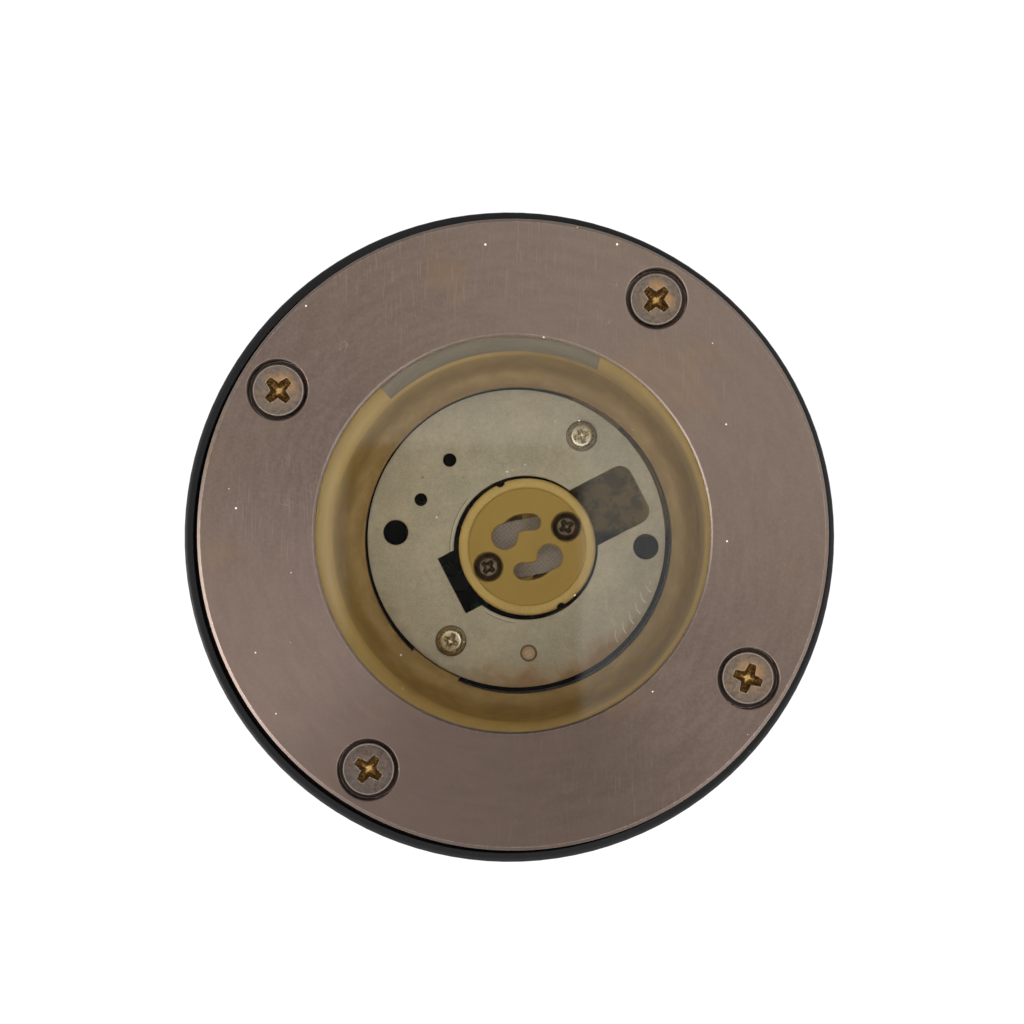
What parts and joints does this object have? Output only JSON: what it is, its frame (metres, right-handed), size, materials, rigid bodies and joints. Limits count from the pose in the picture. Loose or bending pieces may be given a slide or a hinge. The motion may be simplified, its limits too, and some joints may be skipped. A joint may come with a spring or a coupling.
{
  "type": "in ground well light",
  "caption": "Round bronze-faced well light: brass lamp can under a screwed glass cover, with a tan twist-lock lampholder, set loosely in a black plastic ground sleeve.",
  "frame": {"origin": "centre of the ground sleeve's foot, where it stands on the soil or gravel", "axes": "+Z up along the sleeve's axis, towards the glass; +Y is up in the picture and +X to its right"},
  "size_m": [0.1192, 0.1192, 0.152],
  "materials": {
    "black_plastic": "satin moulded",
    "cast_brass": "cast and turned, dull",
    "turned_brass": "machined",
    "contact_brass": "stamped",
    "aged_bronze": "aged bronze patina, finely brushed",
    "aged_bronze_screw": "aged bronze patina, bare in the recess",
    "clear_glass": "clear tempered, polished edge",
    "black_silicone": "moulded silicone",
    "zinc_plate": "zinc-plated sheet, rolled grain",
    "bright_zinc": "bright zinc",
    "dark_steel": "darkened steel",
    "tan_ceramic": "unglazed tan steatite",
    "woven_pad": "woven glass fibre",
    "tinned_copper": "tin-plated",
    "black_nylon": "moulded nylon",
    "white_nylon": "moulded nylon",
    "white_sleeving": "braided glass-fibre sleeving",
    "green_insulation": "extruded insulation",
    "silver_foil": "blank foil label"
  },
  "bodies": {
    "sleeve": {"ground_sleeve": "black_plastic"},
    "fixture": {"lamp_can": "cast_brass", "wiring_well": "cast_brass", "well_gasket": "black_silicone", "well_screws": "dark_steel", "flange_gasket": "black_silicone", "blank_label": "silver_foil", "socket_plate": "zinc_plate", "plate_screws": "bright_zinc", "plate_lock_washers": "dark_steel", "lampholder_body": "tan_ceramic", "lampholder_base": "tan_ceramic", "insulating_pad": "woven_pad", "lampholder_contacts": "contact_brass", "lampholder_screws": "dark_steel", "lampholder_cradle": "dark_steel", "ground_rivet": "bright_zinc", "ground_terminal": "tinned_copper", "terminal_block": "black_nylon", "terminal_clamp_screws": "dark_steel", "terminal_block_screw": "dark_steel", "lead_live": "white_sleeving", "lead_neutral": "white_sleeving", "lead_ground": "green_insulation", "gland_body": "turned_brass", "gland_washer": "black_silicone", "gland_seal": "black_silicone"},
    "nut": {"gland_nut": "turned_brass"},
    "cover": {"faceplate": "aged_bronze", "lens": "clear_glass", "lens_gasket": "black_silicone", "screw_seal_washers": "white_nylon"},
    "screw_upper_right": {"cover_screw_upper_right": "aged_bronze_screw"},
    "screw_upper_left": {"cover_screw_upper_left": "aged_bronze_screw"},
    "screw_lower_left": {"cover_screw_lower_left": "aged_bronze_screw"},
    "screw_lower_right": {"cover_screw_lower_right": "aged_bronze_screw"}
  },
  "joints": [
    {"name": "fixture_lift", "type": "slide", "parent": "sleeve", "child": "fixture", "axis": [0, 0, 1], "range_m": [0, 0.14]},
    {"name": "gland_nut_turn", "type": "hinge", "parent": "fixture", "child": "nut", "pos_m": [0.00075, 0.00035, 0.0279], "axis": [0, 0, 1], "continuous": true},
    {"name": "cover_lift", "type": "slide", "parent": "fixture", "child": "cover", "axis": [0, 0, 1], "range_m": [0, 0.06]},
    {"name": "screw_upper_right_turn", "type": "hinge", "parent": "cover", "child": "screw_upper_right", "pos_m": [0.02687, 0.04298, 0.1489], "axis": [0, 0, 1], "continuous": true},
    {"name": "screw_upper_left_turn", "type": "hinge", "parent": "cover", "child": "screw_upper_left", "pos_m": [-0.04188, 0.02647, 0.1489], "axis": [0, 0, 1], "continuous": true},
    {"name": "screw_lower_left_turn", "type": "hinge", "parent": "cover", "child": "screw_lower_left", "pos_m": [-0.02537, -0.04228, 0.1489], "axis": [0, 0, 1], "continuous": true},
    {"name": "screw_lower_right_turn", "type": "hinge", "parent": "cover", "child": "screw_lower_right", "pos_m": [0.04338, -0.02577, 0.1489], "axis": [0, 0, 1], "continuous": true}
  ]
}
